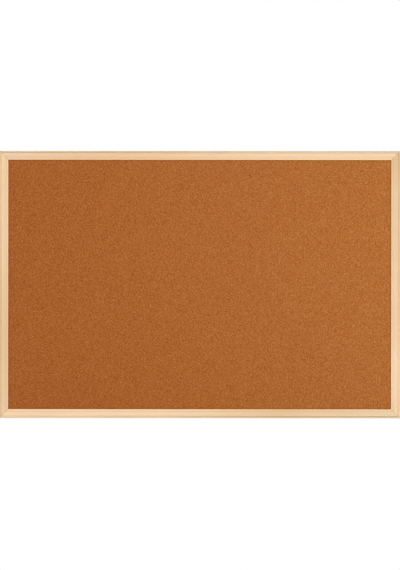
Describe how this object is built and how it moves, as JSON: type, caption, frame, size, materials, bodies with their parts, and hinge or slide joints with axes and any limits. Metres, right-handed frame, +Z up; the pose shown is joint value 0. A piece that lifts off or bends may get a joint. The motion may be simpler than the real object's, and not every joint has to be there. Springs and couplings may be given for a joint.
{
  "type": "cork board",
  "caption": "Wall-hung cork pin board in a mitred pine frame, with folding D-ring hangers and rubber bumpers on the back.",
  "frame": {"origin": "the middle of the board on the plane of the wall that it hangs on, which the bumpers' faces touch", "axes": "+X along the board's width, to the right as seen from the front; +Y out of the back into the wall, so the cork faces -Y; +Z up"},
  "size_m": [0.9, 0.023, 0.6],
  "materials": {
    "pine": "satin",
    "cork": "matte",
    "softboard": "matte",
    "kraft": "matte",
    "zinc_plate": "satin",
    "spring_steel": "satin",
    "rubber": "matte"
  },
  "bodies": {
    "board": {"top_rail": "pine", "bottom_rail": "pine", "left_stile": "pine", "right_stile": "pine", "cork_sheet": "cork", "softboard_core": "softboard", "backing_paper": "kraft", "v_nail_top_left_outer": "spring_steel", "v_nail_top_left_inner": "spring_steel", "v_nail_top_right_outer": "spring_steel", "v_nail_top_right_inner": "spring_steel", "v_nail_bottom_left_outer": "spring_steel", "v_nail_bottom_left_inner": "spring_steel", "v_nail_bottom_right_outer": "spring_steel", "v_nail_bottom_right_inner": "spring_steel", "left_hanger_strap": "zinc_plate", "left_hanger_screw": "zinc_plate", "right_hanger_strap": "zinc_plate", "right_hanger_screw": "zinc_plate", "left_bumper": "rubber", "right_bumper": "rubber"},
    "left_ring": {"left_hanger_ring": "zinc_plate"},
    "right_ring": {"right_hanger_ring": "zinc_plate"}
  },
  "joints": [
    {"name": "left_ring_swing", "type": "hinge", "parent": "board", "child": "left_ring", "pos_m": [-0.4418, -0.0027, 0.2], "axis": [1, 0, 0], "range_deg": [0, 178]},
    {"name": "right_ring_swing", "type": "hinge", "parent": "board", "child": "right_ring", "pos_m": [0.4418, -0.0027, 0.2], "axis": [1, 0, 0], "range_deg": [0, 178]}
  ]
}
